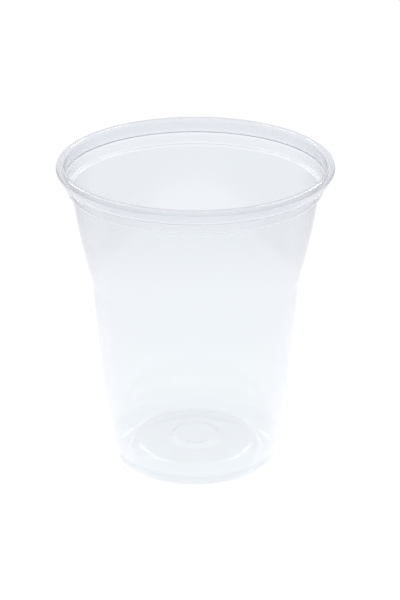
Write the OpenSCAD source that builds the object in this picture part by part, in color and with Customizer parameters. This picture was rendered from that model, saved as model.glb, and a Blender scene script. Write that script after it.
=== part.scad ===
// Clear thermoformed cold drink cup. One sheet of plastic is drawn into a tapered wall with a
// waist step, a stacking collar and a rolled rim, over a pushed-up floor on a standing ring.
// The section is one line, the outer skin, from the middle of the floor to the free edge inside
// the roll. The inner skin is that line moved in by the sheet's thickness at each place.

/* [Rim] */
// Overall height, from the standing ring to the top of the roll
cup_h = 115; // [100:1:140]
// Overall diameter, over the roll
rim_d = 98; // [90:0.5:110]
// Width of the roll, from the inner face of the lip to the outside
roll_w = 3.2; // [2.8:0.1:4]
// Height of the roll, down to its foot
roll_h = 5.7; // [5:0.1:6.5]
// Width of the bend at the foot of the roll
roll_foot = 1.6; // [1.3:0.1:2]
// Gap between the lip and the middle of that bend
roll_gap = 0.3; // [0.2:0.05:0.8]
// How far that bend turns below level, in degrees, to the free edge
roll_end = 95; // [80:5:110]
// Height of the lip, from the top of the roll down to the flare
lip_h = 4.1; // [3.6:0.1:4.6]

/* [Collar] */
// Height of the flare between the collar and the roll
flare_h = 2.2; // [1.5:0.1:4]
// Width of the flare, on each side
flare_w = 0.8; // [0.4:0.1:2]
// Height of the collar, from the ledge up to the flare
collar_h = 3.2; // [2:0.1:8]
// Draft of the collar, on each side
collar_draft = 0.2; // [0:0.05:0.5]
// Width of the stacking ledge at the foot of the collar, on each side
ledge_w = 1.6; // [1:0.1:3]
// Height of the stacking ledge, which slopes
ledge_h = 0.2; // [0.1:0.1:1.5]

/* [Wall] */
// Height of the waist, where the upper wall ends
waist_z = 72; // [50:0.5:85]
// Outer diameter of the upper wall at the waist
waist_d = 75.3; // [72:0.2:82]
// Height of the waist step
waist_h = 1.2; // [0.8:0.1:4]
// Width of the waist step, on each side
waist_step = 0.3; // [0.2:0.05:1.5]
// How far the upper wall swells beyond a straight taper
wall_bulge = 0.5; // [0:0.1:1.5]
// How far the lower wall swells beyond a straight taper
lower_bulge = 0.2; // [0:0.1:1]

/* [Base] */
// Outer diameter of the lower wall at its foot
foot_d = 65.2; // [62:0.5:70]
// Height of the foot of the lower wall
foot_z = 10.5; // [10:0.1:16]
// Width of the step below the foot, on each side
foot_step = 0.8; // [0.3:0.05:1.5]
// Height of the step below the foot
foot_h = 4.4; // [2:0.1:4.8]
// Radius of the heel, where the wall turns under
heel_r = 5; // [3:0.1:5]
// Width of the flat that the cup stands on, before its inner edge is rounded
stand_w = 1.4; // [1:0.1:2]
// Height of the pushed-up floor, measured under it
floor_h = 5.6; // [3:0.1:8]
// Diameter of the pushed-up floor
floor_d = 45; // [38:0.5:47]
// Radius of the bend at the edge of the floor
floor_r = 4; // [1:0.1:4.5]
// Diameter of the raised disc in the middle of the floor
disc_d = 20; // [12:0.5:28]
// Height of the raised disc above the floor
disc_h = 1.4; // [0.8:0.1:2.5]
// Width of the disc's sloping edge
disc_edge = 2; // [1:0.1:3]

/* [Sheet] */
// Thickness at the rim, where the sheet is hardly drawn
rim_t = 0.45; // [0.3:0.05:0.5]
// Thickness of the wall, where it is drawn thin
wall_t = 0.3; // [0.25:0.05:0.45]
// Thickness of the floor and the heel
floor_t = 0.4; // [0.25:0.05:0.5]
// Radius of the small bends, on the outer skin
bend_r = 0.8; // [0.6:0.1:1]

/* [Hidden] */

arc_step = 10;    // angle between the points of a bend, in degrees
bulge_parts = 12; // straight stretches that make up the swelling of each wall
round_fn = 180;   // facets of a turn where it is drawn as a mesh

// Lip and roll: a wide bend on top, a small one at the foot, and the slant that touches both
rim_r = rim_d / 2;
lip_r = rim_r - roll_w;
lip_skin_r = lip_r + rim_t;
top_c = [rim_r - roll_w / 2, cup_h - roll_w / 2];
low_c = [lip_skin_r + roll_gap, cup_h - roll_h + roll_foot / 2];
top_skin_r = roll_w / 2 - rim_t;
low_skin_r = roll_foot / 2 - rim_t;
centres = top_c - low_c;
slant = atan2(centres[1], centres[0]) - acos((low_skin_r - top_skin_r) / norm(centres));

// Collar and ledge, downwards from the lip
flare_z = cup_h - lip_h;
collar_z = flare_z - flare_h;
ledge_z = collar_z - collar_h;
wall_z = ledge_z - ledge_h;
collar_r = lip_skin_r - flare_w;
ledge_r = collar_r - collar_draft;
wall_r = ledge_r - ledge_w;
ledge_bend = min(bend_r, ledge_w * 0.45);

// Wall, waist and foot
waist_r = waist_d / 2;
waist_low_r = waist_r - waist_step;
foot_r = foot_d / 2;
base_r = foot_r - foot_step;

// Base, inwards from the heel
stand_r = base_r - heel_r - stand_w;
edge_of_floor = floor_d / 2;
disc_foot_r = disc_d / 2;
disc_top_r = disc_foot_r - disc_edge;

function unit(v) = v / norm(v);

// Points of a bend about a centre, from one angle to another
function bend(c, r, a0, a1) =
    let (parts = max(2, ceil(abs(a1 - a0) / arc_step)))
    [for (i = [0:parts]) let (a = a0 + (a1 - a0) * i / parts) c + r * [cos(a), sin(a)]];

// Points that round the corner at b, between its neighbours a and c, with radius r
function rounded(a, b, c, r) =
    let (
        u = unit(a - b),
        v = unit(c - b),
        half = acos(u * v) / 2,
        centre = b + unit(u + v) * r / sin(half),
        from = b + u * r / tan(half) - centre,
        to = b + v * r / tan(half) - centre,
        a0 = atan2(from[1], from[0]),
        turn = atan2(from[0] * to[1] - from[1] * to[0], from * to)
    )
    bend(centre, r, a0, a0 + turn);

// Direction from a skin point into the sheet, lengthened so that the stretches beside it keep
// their full thickness
function into_sheet(a, b, c) =
    let (
        u = unit(b - a),
        v = unit(c - b),
        m = [-u[1] - v[1], u[0] + v[0]]
    )
    m * 2 / (m * m);

// Corners of a wall that swells between two heights, without its ends
function swollen(r0, z0, r1, z1, bulge) = [
    for (i = [1:bulge_parts - 1]) let (s = i / bulge_parts) [
        r0 + (r1 - r0) * s + bulge * 4 * s * (1 - s),
        z0 + (z1 - z0) * s,
        0,
        wall_t
    ]
];

// Corners of the outer skin, each [radius, height, radius of its bend, thickness there]
body_corners = [
    [0, floor_h + disc_h, 0, floor_t],
    [disc_top_r, floor_h + disc_h, bend_r, floor_t],
    [disc_foot_r, floor_h, bend_r, floor_t],
    [edge_of_floor, floor_h, floor_r, floor_t],
    [stand_r, 0, bend_r, floor_t],
    [base_r, 0, heel_r, floor_t],
    [base_r, foot_z - foot_h, bend_r, floor_t],
    [foot_r, foot_z, bend_r, wall_t],
    each swollen(foot_r, foot_z, waist_low_r, waist_z - waist_h, lower_bulge),
    [waist_low_r, waist_z - waist_h, bend_r, wall_t],
    [waist_r, waist_z, bend_r, wall_t],
    each swollen(waist_r, waist_z, wall_r, wall_z, wall_bulge),
    [wall_r, wall_z, ledge_bend, wall_t],
    [ledge_r, ledge_z, ledge_bend, wall_t],
    [collar_r, collar_z, bend_r, wall_t],
    [lip_skin_r, flare_z, bend_r, rim_t],
    [lip_skin_r, top_c[1], 0, rim_t]
];

// The outer skin as points with their thickness: the body, then the roll
function with_t(points, t) = [for (p = points) [p[0], p[1], t]];
function xy(p) = [p[0], p[1]];

body_skin = [
    for (i = [0:len(body_corners) - 2])
        let (p = body_corners[i])
        each p[2] == 0
            ? with_t([xy(p)], p[3])
            : with_t(rounded(xy(body_corners[i - 1]), xy(p), xy(body_corners[i + 1]), p[2]), p[3])
];
roll_skin = with_t(
    concat(bend(top_c, top_skin_r, 180, slant), bend(low_c, low_skin_r, slant, -roll_end)),
    rim_t
);
skin = concat(body_skin, roll_skin);
last = len(skin) - 1;

// The outer skin moved into the sheet by its thickness: level at the middle of the floor, and
// square to the sheet at the free edge
inner_skin = [
    for (i = [0:last])
        let (
            p = xy(skin[i]),
            before = i == 0 ? p - [1, 0] : xy(skin[i - 1]),
            after = i == last ? 2 * p - before : xy(skin[i + 1])
        )
        p + skin[i][2] * into_sheet(before, p, after)
];

module sheet_section() {
    polygon(concat([for (p = skin) xy(p)], [for (i = [last:-1:0]) inner_skin[i]]));
}

module cup() {
    color("aliceblue", 0.5)
        rotate_extrude($fn = round_fn)
            sheet_section();
}

cup();
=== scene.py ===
import math

import bpy
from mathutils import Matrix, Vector


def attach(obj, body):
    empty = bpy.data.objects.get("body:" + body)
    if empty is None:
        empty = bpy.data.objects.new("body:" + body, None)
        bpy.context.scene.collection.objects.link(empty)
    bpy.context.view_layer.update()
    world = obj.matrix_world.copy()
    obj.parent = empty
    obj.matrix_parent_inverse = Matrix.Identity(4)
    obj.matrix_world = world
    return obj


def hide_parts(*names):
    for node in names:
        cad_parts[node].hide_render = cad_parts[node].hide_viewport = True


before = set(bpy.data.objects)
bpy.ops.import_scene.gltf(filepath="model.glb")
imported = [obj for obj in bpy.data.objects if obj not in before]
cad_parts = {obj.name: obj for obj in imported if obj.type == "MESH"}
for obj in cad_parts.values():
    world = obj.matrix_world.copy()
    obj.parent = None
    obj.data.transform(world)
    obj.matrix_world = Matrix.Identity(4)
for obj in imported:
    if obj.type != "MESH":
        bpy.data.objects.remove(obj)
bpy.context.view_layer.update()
print("frame loaded")

# Sizes of the cup in millimetres, the same ones that its CAD model is made from
cupSizes = {
    "height": 115.0,
    "rimDiameter": 98.0,
    "rollWidth": 3.2,
    "rollHeight": 5.7,
    "rollFoot": 1.6,        # width of the bend at the foot of the roll
    "rollGap": 0.3,         # between the lip and the middle of that bend
    "rollEnd": 95.0,        # degrees that the bend turns below level, to the cut edge
    "lipHeight": 4.1,
    "flareHeight": 2.2,
    "flareWidth": 0.8,
    "collarHeight": 3.2,
    "collarDraft": 0.2,
    "ledgeWidth": 1.6,
    "ledgeHeight": 0.2,
    "waistHeight": 72.0,
    "waistDiameter": 75.3,
    "waistStepHeight": 1.2,
    "waistStepWidth": 0.3,
    "upperSwelling": 0.5,   # how far each wall swells beyond a straight taper
    "lowerSwelling": 0.2,
    "footDiameter": 65.2,
    "footHeight": 10.5,
    "footStepWidth": 0.8,
    "footStepHeight": 4.4,
    "heelRadius": 5.0,
    "standWidth": 1.4,
    "floorHeight": 5.6,
    "floorDiameter": 45.0,
    "floorRadius": 4.0,
    "discDiameter": 20.0,
    "discHeight": 1.4,
    "discEdge": 2.0,
    "rimThickness": 0.45,
    "wallThickness": 0.3,
    "floorThickness": 0.4,
    "bendRadius": 0.8,
    "ledgeBend": 0.45,      # largest bend at the ledge, as a share of the ledge's width
    "cutRounding": 0.7,     # how far the cut edge is rounded, as a share of half its thickness
    "cutParts": 6,          # stretches in that rounding
    "arcStep": 5.0,         # degrees between the points of a bend
    "fewestParts": 3,       # stretches in the smallest bend
    "wallParts": 24,        # stretches in each swollen wall
    "turns": 192,           # faces round the cup
}


def bendPoints(centre, radius, start, end):
    parts = max(cupSizes["fewestParts"], math.ceil(abs(end - start) / cupSizes["arcStep"]))
    points = []
    for i in range(parts + 1):
        angle = math.radians(start + (end - start) * i / parts)
        points.append(centre + radius * Vector((math.cos(angle), math.sin(angle))))
    return points


def roundedCorner(before, corner, after, radius):
    u = (before - corner).normalized()
    v = (after - corner).normalized()
    half = math.acos(u.dot(v)) / 2
    centre = corner + (u + v).normalized() * radius / math.sin(half)
    first = corner + u * radius / math.tan(half) - centre
    last = corner + v * radius / math.tan(half) - centre
    turn = math.degrees(math.atan2(first.x * last.y - first.y * last.x, first.dot(last)))
    start = math.degrees(math.atan2(first.y, first.x))
    return bendPoints(centre, radius, start, start + turn)


# Corners of a wall between its two ends, on a parabola that is highest halfway
def swollenWall(start, end, swelling, thickness):
    parts = cupSizes["wallParts"]
    corners = []
    for i in range(1, parts):
        s = i / parts
        corners.append((
            start[0] + (end[0] - start[0]) * s + swelling * 4 * s * (1 - s),
            start[1] + (end[1] - start[1]) * s,
            0.0,
            thickness,
        ))
    return corners


# Direction from the outer skin into the sheet, lengthened at bends to keep the full thickness
def intoSheet(before, point, after):
    u = (point - before).normalized()
    v = (after - point).normalized()
    mitre = Vector((-u.y - v.y, u.x + v.x))
    return mitre * 2 / mitre.dot(mitre)


# One closed line round the cut sheet: the outer skin, from the middle of the floor to the cut
# edge in the roll, then the inner skin back to the middle
def cupSection():
    c = cupSizes
    bend = c["bendRadius"]
    wall, floor, rim = c["wallThickness"], c["floorThickness"], c["rimThickness"]

    # lip and roll: a wide bend on top, a small one at the foot, and the slant that touches both
    rimRadius = c["rimDiameter"] / 2
    lipSkin = rimRadius - c["rollWidth"] + rim
    topCentre = Vector((rimRadius - c["rollWidth"] / 2, c["height"] - c["rollWidth"] / 2))
    lowZ = c["height"] - c["rollHeight"] + c["rollFoot"] / 2
    lowCentre = Vector((lipSkin + c["rollGap"], lowZ))
    topSkin = c["rollWidth"] / 2 - rim
    lowSkin = c["rollFoot"] / 2 - rim
    between = topCentre - lowCentre
    slope = math.atan2(between.y, between.x)
    slant = math.degrees(slope - math.acos((lowSkin - topSkin) / between.length))

    # downwards from the lip
    flareZ = c["height"] - c["lipHeight"]
    collarZ = flareZ - c["flareHeight"]
    ledgeZ = collarZ - c["collarHeight"]
    wallZ = ledgeZ - c["ledgeHeight"]
    collarR = lipSkin - c["flareWidth"]
    ledgeR = collarR - c["collarDraft"]
    wallR = ledgeR - c["ledgeWidth"]
    ledgeBend = min(bend, c["ledgeWidth"] * c["ledgeBend"])
    waistR = c["waistDiameter"] / 2
    waistLowR = waistR - c["waistStepWidth"]
    waistLowZ = c["waistHeight"] - c["waistStepHeight"]
    footR = c["footDiameter"] / 2
    baseR = footR - c["footStepWidth"]
    standR = baseR - c["heelRadius"] - c["standWidth"]
    discR = c["discDiameter"] / 2
    discZ = c["floorHeight"] + c["discHeight"]

    # corners of the outer skin: radius, height, radius of the bend, thickness there
    corners = [
        (0.0, discZ, 0.0, floor),
        (discR - c["discEdge"], discZ, bend, floor),
        (discR, c["floorHeight"], bend, floor),
        (c["floorDiameter"] / 2, c["floorHeight"], c["floorRadius"], floor),
        (standR, 0.0, bend, floor),
        (baseR, 0.0, c["heelRadius"], floor),
        (baseR, c["footHeight"] - c["footStepHeight"], bend, floor),
        (footR, c["footHeight"], bend, wall),
        *swollenWall((footR, c["footHeight"]), (waistLowR, waistLowZ), c["lowerSwelling"], wall),
        (waistLowR, waistLowZ, bend, wall),
        (waistR, c["waistHeight"], bend, wall),
        *swollenWall((waistR, c["waistHeight"]), (wallR, wallZ), c["upperSwelling"], wall),
        (wallR, wallZ, ledgeBend, wall),
        (ledgeR, ledgeZ, ledgeBend, wall),
        (collarR, collarZ, bend, wall),
        (lipSkin, flareZ, bend, rim),
        (lipSkin, topCentre.y, 0.0, rim),
    ]
    skin = []
    for i, (r, z, radius, thickness) in enumerate(corners[:-1]):
        if radius == 0:
            skin.append((Vector((r, z)), thickness))
            continue
        before = Vector(corners[i - 1][:2])
        after = Vector(corners[i + 1][:2])
        skin += [(p, thickness) for p in roundedCorner(before, Vector((r, z)), after, radius)]
    skin += [(p, rim) for p in bendPoints(topCentre, topSkin, 180, slant)]
    skin += [(p, rim) for p in bendPoints(lowCentre, lowSkin, slant, -c["rollEnd"])]
    outer = [p for p, thickness in skin]
    inner = []
    for i, (p, thickness) in enumerate(skin):
        before = p - Vector((1, 0)) if i == 0 else outer[i - 1]
        after = 2 * p - before if i == len(skin) - 1 else outer[i + 1]
        inner.append(p + thickness * intoSheet(before, p, after))

    # the cut edge is rounded over, half a turn from the outer skin to the inner one
    cutMiddle = (outer[-1] + inner[-1]) / 2
    reach = outer[-1] - cutMiddle
    along = (outer[-1] - outer[-2]).normalized()
    rounding = along * reach.length * c["cutRounding"]
    edge = []
    for i in range(1, c["cutParts"]):
        turn = math.pi * i / c["cutParts"]
        edge.append(cutMiddle + reach * math.cos(turn) + rounding * (math.sin(turn) - 1))
    line = outer[:-1] + [outer[-1] - rounding] + edge + [inner[-1] - rounding] + inner[-2::-1]
    return [Vector((p.x, min(p.y, c["height"]))) for p in line]


# Normals along a section line, each stretch counting by its length
def lineNormals(line):
    normals = []
    for i in range(len(line)):
        total = Vector((0, 0))
        for a, b in ((i - 1, i), (i, i + 1)):
            if a < 0 or b >= len(line):
                continue
            step = line[b] - line[a]
            total += Vector((step.y, -step.x))
        normals.append(total.normalized())
    normals[0] = Vector((0, -1))
    normals[-1] = Vector((0, 1))
    return normals


# Turns a section line, in millimetres, about the cup's axis into a mesh in metres
def turnedMesh(name, line, turns):
    perMetre = 1000   # millimetres
    onAxis = 1e-9     # a point nearer than this is on the axis, and stays one point
    vertices, vertexNormals, rings, faces = [], [], [], []
    for p, n in zip(line, lineNormals(line)):
        r, z = p.x / perMetre, p.y / perMetre
        if p.x < onAxis:
            rings.append([len(vertices)] * turns)
            vertices.append((0.0, 0.0, z))
            vertexNormals.append((0.0, 0.0, n.y))
            continue
        ring = []
        for i in range(turns):
            angle = 2 * math.pi * i / turns
            ring.append(len(vertices))
            vertices.append((r * math.cos(angle), r * math.sin(angle), z))
            vertexNormals.append((n.x * math.cos(angle), n.x * math.sin(angle), n.y))
        rings.append(ring)
    for low, high in zip(rings, rings[1:]):
        for i in range(turns):
            j = (i + 1) % turns
            corners = [low[i], low[j], high[j], high[i]]
            faces.append([v for k, v in enumerate(corners) if v not in corners[:k]])
    mesh = bpy.data.meshes.new(name)
    mesh.from_pydata(vertices, [], faces)
    mesh.update()
    mesh.polygons.foreach_set("use_smooth", [True] * len(mesh.polygons))
    mesh.normals_split_custom_set_from_vertices(vertexNormals)
    return mesh


# Adds a node. An input gets a number or a colour, or a link from the output given for it
def addNode(tree, kind, inputs=None, **settings):
    node = tree.nodes.new(kind)
    for key, value in settings.items():
        setattr(node, key, value)
    for key, value in (inputs or {}).items():
        if isinstance(value, bpy.types.NodeSocket):
            tree.links.new(value, node.inputs[key])
        else:
            node.inputs[key].default_value = value
    return node


def mathNode(tree, operation, *values):
    inputs = dict(enumerate(values))
    return addNode(tree, "ShaderNodeMath", inputs, operation=operation).outputs[0]


# Length or direction of a vector
def vectorNode(tree, operation, vector):
    node = addNode(tree, "ShaderNodeVectorMath", {0: vector}, operation=operation)
    return node.outputs["Value" if operation == "LENGTH" else "Vector"]


# The part of a vector that lies level
def levelPart(tree, parts):
    return addNode(tree, "ShaderNodeCombineXYZ", {"X": parts["X"], "Y": parts["Y"]}).outputs[0]


# Goes smoothly from one level to another while the source goes from start to end
def smoothChange(tree, source, start, end, fromLevel=0.0, toLevel=1.0):
    return addNode(tree, "ShaderNodeMapRange", {
        "Value": source, "From Min": start, "From Max": end,
        "To Min": fromLevel, "To Max": toLevel,
    }, interpolation_type="SMOOTHSTEP").outputs["Result"]


# Goes evenly from one level to another while the share goes from 0 to 1
def evenChange(tree, share, fromLevel, toLevel):
    return addNode(tree, "ShaderNodeMapRange", {
        "Value": share, "To Min": fromLevel, "To Max": toLevel,
    }).outputs["Result"]


def mixShaders(tree, share, first, second):
    return addNode(tree, "ShaderNodeMixShader", {0: share, 1: first, 2: second}).outputs[0]


# Clear polyester sheet. Its tint goes by height, because the sheet is thickest at the rim. The
# darker band at the heel is painted shade, not a thicker sheet
sheetLook = {
    "rimTint": (0.974, 0.974, 0.985, 1.0),
    "upperTint": (0.974, 0.977, 0.986, 1.0),
    "lowerTint": (0.995, 1.0, 1.0, 1.0),
    # painted shade: the band round the heel is darkened
    "heelPaintedShade": (0.952, 0.957, 0.965, 1.0),
    "floorTint": (0.994, 1.0, 1.0, 1.0),
    "tintHeight": 0.115,                      # metres, and the stops are shares of it
    "tintStops": (
        (0.008, "floorTint"), (0.052, "heelPaintedShade"), (0.056, "lowerTint"), (0.45, "lowerTint"),
        (0.65, "upperTint"), (0.908, "upperTint"), (0.916, "rimTint"), (1.0, "rimTint"),
    ),
    "floorReach": 0.0305,                     # metres from the axis that count as floor
    "cloudScale": 28.0,                       # slow unevenness of the drawn sheet
    "cloudDetail": 2.0,
    "cloudShift": 0.012,                      # how far it moves the tints up and down
    "markScale": (160.0, 160.0, 14.0),        # faint draw marks, long down the wall
    "markDetail": 2.0,
    "markStrength": 0.02,
    "markDepth": 0.001,
    "roughness": 0.09,
    "ior": 1.57,
    "shadowTint": (0.93, 0.945, 0.955, 1.0),  # what a lamp keeps on its way through
    "longRun": 9.5,                           # surfaces met before light leaves the sheet
    "longTint": (0.92, 0.93, 0.95, 1.0),      # what it keeps then
    "depthColour": (0.76, 0.80, 0.83, 1.0),
    "depthDensity": 200,                      # per metre, so that edges are darker
}


def clearSheetMaterial():
    look = sheetLook
    material = bpy.data.materials.new("clearSheet")
    material.use_nodes = True
    tree = material.node_tree
    tree.nodes.clear()
    place = addNode(tree, "ShaderNodeTexCoord").outputs["Object"]
    parts = addNode(tree, "ShaderNodeSeparateXYZ", {0: place}).outputs

    # height as a share of the cup's, a little uneven; the floor counts as low, wherever it is
    height = addNode(tree, "ShaderNodeMapRange", {
        "Value": parts["Z"], "From Max": look["tintHeight"],
    }).outputs["Result"]
    cloud = addNode(tree, "ShaderNodeTexNoise", {
        "Vector": place, "Scale": look["cloudScale"], "Detail": look["cloudDetail"],
    }).outputs["Fac"]
    shift = mathNode(tree, "MULTIPLY_ADD", cloud, look["cloudShift"], -look["cloudShift"] / 2)
    uneven = mathNode(tree, "ADD", height, shift)
    fromAxis = vectorNode(tree, "LENGTH", levelPart(tree, parts))
    inWall = mathNode(tree, "GREATER_THAN", fromAxis, look["floorReach"])
    # the tint by height, which carries the painted shade in the band at the heel
    tint = addNode(tree, "ShaderNodeValToRGB", {0: mathNode(tree, "MULTIPLY", uneven, inWall)})
    stops = tint.color_ramp.elements
    lowest, *middle, highest = look["tintStops"]
    stops[0].position, stops[0].color = lowest[0], look[lowest[1]]
    stops[1].position, stops[1].color = highest[0], look[highest[1]]
    for position, name in middle:
        stops.new(position).color = look[name]

    # draw marks, with their scale set by the mapping alone
    drawn = addNode(tree, "ShaderNodeMapping", {"Vector": place, "Scale": look["markScale"]})
    marks = addNode(tree, "ShaderNodeTexNoise", {
        "Vector": drawn.outputs[0], "Scale": 1.0, "Detail": look["markDetail"],
    })
    wave = addNode(tree, "ShaderNodeBump", {
        "Height": marks.outputs["Fac"], "Strength": look["markStrength"],
        "Distance": look["markDepth"],
    })
    plastic = addNode(tree, "ShaderNodeBsdfPrincipled", {
        "Base Color": tint.outputs["Color"], "Normal": wave.outputs["Normal"],
        "Roughness": look["roughness"], "IOR": look["ior"], "Transmission Weight": 1.0,
    }).outputs[0]

    # lamps shine through the sheet, dimmed a little
    path = addNode(tree, "ShaderNodeLightPath").outputs
    clear = addNode(tree, "ShaderNodeBsdfTransparent", {"Color": look["shadowTint"]}).outputs[0]
    sheet = mixShaders(tree, path["Is Shadow Ray"], plastic, clear)

    # light that has run a long way inside the sheet leaves it, a little weaker
    longRun = mathNode(tree, "GREATER_THAN", path["Ray Depth"], look["longRun"])
    leaving = addNode(tree, "ShaderNodeBsdfTransparent", {"Color": look["longTint"]}).outputs[0]
    depth = addNode(tree, "ShaderNodeVolumeAbsorption", {
        "Color": look["depthColour"], "Density": look["depthDensity"],
    }).outputs[0]
    addNode(tree, "ShaderNodeOutputMaterial", {
        "Surface": mixShaders(tree, longRun, sheet, leaving), "Volume": depth,
    })
    return material


cupShell = bpy.data.objects.new(
    "cupShell", turnedMesh("cupShell", cupSection(), cupSizes["turns"])
)
bpy.context.scene.collection.objects.link(cupShell)
cupShell.data.materials.append(clearSheetMaterial())
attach(cupShell, "root")
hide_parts("cup")
print("cup shell turned:", len(cupShell.data.polygons), "faces")

# Studio: a pale table and a white room. Seen straight, both are white. Mirrored in the sheet, the
# table has a bright pool about the cup, and the room has a backdrop behind it and a lit ceiling
studio = {
    "tableSize": 6.0,
    "tableDrop": 0.00005,     # metres that the table lies below the cup
    "tableColour": (0.90, 0.905, 0.91, 1.0),
    "litShare": 0.08,         # share of the table's look that is lamplight, which has the shadow
    "whiteSeen": (1.0, 1.0, 1.0, 1.0),
    "seenStrength": 1.03,
    "whiteThrough": (0.93, 0.965, 0.99, 1.0),
    "mirroredFrom": 0.5,      # reflections from which light counts as mirrored
    "mirroredColour": (0.985, 0.98, 1.012, 1.0),
    "skinsPassed": 4.0,       # skins after which mirrored light is down to the share left
    "shareLeft": 0.8,
    "underStart": 0.025,      # metres from the axis: the light gathers under the cup
    "underEnd": 0.07,
    "tableUnder": 1.6,        # brightness under the cup, and in the pool
    "tableNear": 1.24,
    "poolStart": 0.1,         # metres from the axis where the pool ends
    "poolEnd": 0.32,
    "tableFront": 0.45,       # brightness beyond it: towards the camera, and to the sides
    "tableSide": 0.75,
    "frontHeading": -0.55,    # how far back a heading points where each of the two holds
    "sideHeading": 0.35,
    "farStart": 0.35,         # metres from the axis where the table fades further
    "farEnd": 0.7,
    "farShare": 0.4,
    "backdropTop": 0.64,      # sine of the height that the backdrop reaches
    "backdropSide": 0.86,     # cosine of the angle that it reaches to each side
    "sideSoftness": 0.08,
    "backdropBright": 0.9,
    "glowStart": 0.7,         # metres behind the cup where the table brightens
    "glowFull": 1.3,
    "glowLow": 0.04,          # sines of the heights where the backdrop's foot stops glowing
    "glowHigh": 0.14,
    "glowBright": 1.05,       # brightness where table and backdrop meet
    "roomDim": 0.92,
    "ceilingStart": 0.75,     # sines of the heights where the lit ceiling begins and is full
    "ceilingFull": 0.9,
    "ceilingBright": 0.9,
    "overheadStart": 0.25,    # sines of the heights where the room seen through darkens
    "overheadEnd": 0.8,
    "ceilingThrough": (0.78, 0.80, 0.83, 1.0),
    "aimHeight": 0.06,        # metres above the table, where the soft boxes point
}


# Mirrored light grows weaker with each skin that it has passed on its way
def skinLoss(tree, path, strength):
    loss = addNode(tree, "ShaderNodeMapRange", {
        "Value": path["Transmission Depth"], "From Max": studio["skinsPassed"],
        "To Min": 1.0, "To Max": studio["shareLeft"],
    }).outputs["Result"]
    return mathNode(tree, "MULTIPLY", strength, loss)


# Picks what the sheet shows: what is seen straight through it, or what it mirrors
def behindSheet(tree, path, through, mirrored):
    isMirrored = mathNode(tree, "GREATER_THAN", path["Glossy Depth"], studio["mirroredFrom"])
    return mixShaders(tree, isMirrored, through, mirrored)


# Brightness of the mirrored table, by distance from the cup and by heading
def tableLevel(tree):
    s = studio
    place = addNode(tree, "ShaderNodeTexCoord").outputs["Object"]
    far = vectorNode(tree, "LENGTH", place)
    heading = vectorNode(tree, "NORMALIZE", place)
    backward = addNode(tree, "ShaderNodeSeparateXYZ", {0: heading}).outputs["Y"]
    frontToSide = smoothChange(
        tree, backward, s["frontHeading"], s["sideHeading"], s["tableFront"], s["tableSide"]
    )
    fading = smoothChange(tree, far, s["farStart"], s["farEnd"], 1.0, s["farShare"])
    glow = smoothChange(
        tree, far, s["glowStart"], s["glowFull"], s["backdropBright"], s["glowBright"]
    )
    side, soft = s["backdropSide"], s["sideSoftness"]
    beside = smoothChange(tree, backward, side + soft, side - soft)
    beyond = evenChange(tree, beside, glow, mathNode(tree, "MULTIPLY", frontToSide, fading))
    pool = smoothChange(
        tree, far, s["underStart"], s["underEnd"], s["tableUnder"], s["tableNear"]
    )
    outOfPool = smoothChange(tree, far, s["poolStart"], s["poolEnd"])
    return evenChange(tree, outOfPool, pool, beyond)


def tableMaterial():
    material = bpy.data.materials.new("paleTable")
    material.use_nodes = True
    tree = material.node_tree
    tree.nodes.clear()
    path = addNode(tree, "ShaderNodeLightPath").outputs
    seen = addNode(tree, "ShaderNodeEmission", {
        "Color": studio["whiteSeen"], "Strength": studio["seenStrength"],
    }).outputs[0]
    through = addNode(tree, "ShaderNodeEmission", {"Color": studio["whiteThrough"]}).outputs[0]
    mirrored = addNode(tree, "ShaderNodeEmission", {
        "Color": studio["mirroredColour"], "Strength": skinLoss(tree, path, tableLevel(tree)),
    }).outputs[0]
    bySheet = mathNode(tree, "MAXIMUM", path["Is Glossy Ray"], path["Is Transmission Ray"])
    white = mixShaders(tree, bySheet, seen, behindSheet(tree, path, through, mirrored))

    # lamplight keeps its share of the look everywhere, and with it the cup's shadow
    lit = addNode(tree, "ShaderNodeBsdfDiffuse", {"Color": studio["tableColour"]}).outputs[0]
    inView = mathNode(tree, "MAXIMUM", path["Is Camera Ray"], bySheet)
    whiteShare = mathNode(tree, "MULTIPLY", inView, 1.0 - studio["litShare"])
    addNode(tree, "ShaderNodeOutputMaterial", {
        "Surface": mixShaders(tree, whiteShare, lit, white),
    })
    return material


half = studio["tableSize"] / 2
tableCorners = [(-half, -half, 0), (half, -half, 0), (half, half, 0), (-half, half, 0)]
tableMesh = bpy.data.meshes.new("table")
tableMesh.from_pydata(tableCorners, [], [(0, 1, 2, 3)])
tableMesh.materials.append(tableMaterial())
tableTop = bpy.data.objects.new("table", tableMesh)
bpy.context.scene.collection.objects.link(tableTop)
tableTop.location.z = -studio["tableDrop"]
print("table laid")


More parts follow.
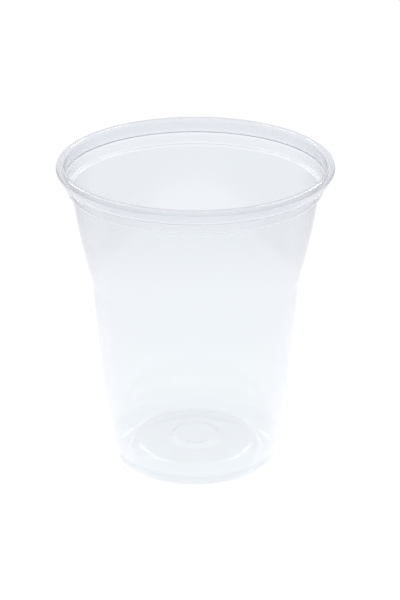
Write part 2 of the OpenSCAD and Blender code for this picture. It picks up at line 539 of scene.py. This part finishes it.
def buildRoom():
    s = studio
    world = bpy.data.worlds.new("room")
    bpy.context.scene.world = world
    world.use_nodes = True
    tree = world.node_tree
    tree.nodes.clear()
    path = addNode(tree, "ShaderNodeLightPath").outputs
    toward = addNode(tree, "ShaderNodeTexCoord").outputs["Generated"]
    parts = addNode(tree, "ShaderNodeSeparateXYZ", {0: toward}).outputs
    upward = parts["Z"]

    # seen straight through the sheet: white low down, a little darker overhead
    overhead = addNode(tree, "ShaderNodeValToRGB", {0: upward})
    stops = overhead.color_ramp.elements
    stops[0].position, stops[0].color = s["overheadStart"], s["whiteThrough"]
    stops[1].position, stops[1].color = s["overheadEnd"], s["ceilingThrough"]
    through = addNode(tree, "ShaderNodeBackground", {"Color": overhead.outputs["Color"]})

    # mirrored by it: the backdrop behind the cup, the lit ceiling, and a dim room elsewhere
    heading = vectorNode(tree, "NORMALIZE", levelPart(tree, parts))
    backward = addNode(tree, "ShaderNodeSeparateXYZ", {0: heading}).outputs["Y"]
    side, top, soft = s["backdropSide"], s["backdropTop"], s["sideSoftness"]
    across = smoothChange(tree, backward, side - soft, side + soft)
    below = smoothChange(tree, upward, top + soft, top - soft)
    glow = smoothChange(
        tree, upward, s["glowLow"], s["glowHigh"], s["glowBright"], s["backdropBright"]
    )
    walls = evenChange(tree, mathNode(tree, "MULTIPLY", across, below), s["roomDim"], glow)
    ceiling = smoothChange(
        tree, upward, s["ceilingStart"], s["ceilingFull"], 0.0, s["ceilingBright"]
    )
    level = mathNode(tree, "MAXIMUM", walls, ceiling)
    mirrored = addNode(tree, "ShaderNodeBackground", {
        "Color": s["mirroredColour"], "Strength": skinLoss(tree, path, level),
    })
    bySheet = behindSheet(tree, path, through.outputs[0], mirrored.outputs[0])
    white = addNode(tree, "ShaderNodeBackground", {"Color": s["whiteSeen"]}).outputs[0]
    addNode(tree, "ShaderNodeOutputWorld", {
        "Surface": mixShaders(tree, path["Is Camera Ray"], bySheet, white),
    })


buildRoom()

# Soft boxes, in pairs left and right. Azimuth is degrees behind straight left or right, power is
# in watts, and the rest is in metres and degrees
softBoxes = {
    "side": {
        "power": 0.45, "width": 0.12, "height": 0.2,
        "distance": 1.2, "azimuth": 64.0, "elevation": 36.0,
    },
    "upper": {
        "power": 0.6, "width": 0.26, "height": 0.34,
        "distance": 1.2, "azimuth": 48.0, "elevation": 54.0,
    },
}


# Azimuth 0 is straight to the right of the cup, 90 straight behind it
def softBox(name, box, azimuth):
    light = bpy.data.lights.new(name, "AREA")
    light.shape = "RECTANGLE"
    light.size, light.size_y = box["width"], box["height"]
    light.energy = box["power"]
    lamp = bpy.data.objects.new(name, light)
    bpy.context.scene.collection.objects.link(lamp)
    turn, lift = math.radians(azimuth), math.radians(box["elevation"])
    away = Vector((
        math.cos(turn) * math.cos(lift), math.sin(turn) * math.cos(lift), math.sin(lift),
    ))
    lamp.location = Vector((0, 0, studio["aimHeight"])) + away * box["distance"]
    lamp.rotation_mode = "QUATERNION"
    lamp.rotation_quaternion = (-away).to_track_quat("-Z", "Y")


for boxName, box in softBoxes.items():
    softBox(boxName + "BoxRight", box, box["azimuth"])
    softBox(boxName + "BoxLeft", box, 180 - box["azimuth"])
print("studio set")

# Camera as fitted to the photograph
cameraFit = {
    "back": 0.63401,         # metres in front of the cup's axis
    "height": 0.34704,
    "pitch": 24.254,         # degrees down
    "focalPixels": 1920.6,
    "sidePixels": 4.57,      # how far the cup's axis stands left of the image's middle
    "imagePixels": 600,      # longer side of the image, 400 by 600
    "sensorWidth": 36.0,
    "nearest": 0.01,
}
cameraData = bpy.data.cameras.new("camera")
cameraData.sensor_width = cameraFit["sensorWidth"]
cameraData.lens = cameraFit["focalPixels"] * cameraFit["sensorWidth"] / cameraFit["imagePixels"]
cameraData.shift_x = cameraFit["sidePixels"] / cameraFit["imagePixels"]
cameraData.clip_start = cameraFit["nearest"]
camera = bpy.data.objects.new("camera", cameraData)
bpy.context.scene.collection.objects.link(camera)
camera.location = (0.0, -cameraFit["back"], cameraFit["height"])
camera.rotation_euler = (math.radians(90 - cameraFit["pitch"]), 0.0, 0.0)
bpy.context.scene.camera = camera
bpy.context.scene.view_settings.view_transform = "Standard"
print("camera set")

# Light runs a long way inside a clear sheet
lightBounces = {"all": 32, "glossy": 24, "transmission": 32}
bpy.context.scene.cycles.max_bounces = lightBounces["all"]
bpy.context.scene.cycles.glossy_bounces = lightBounces["glossy"]
bpy.context.scene.cycles.transmission_bounces = lightBounces["transmission"]
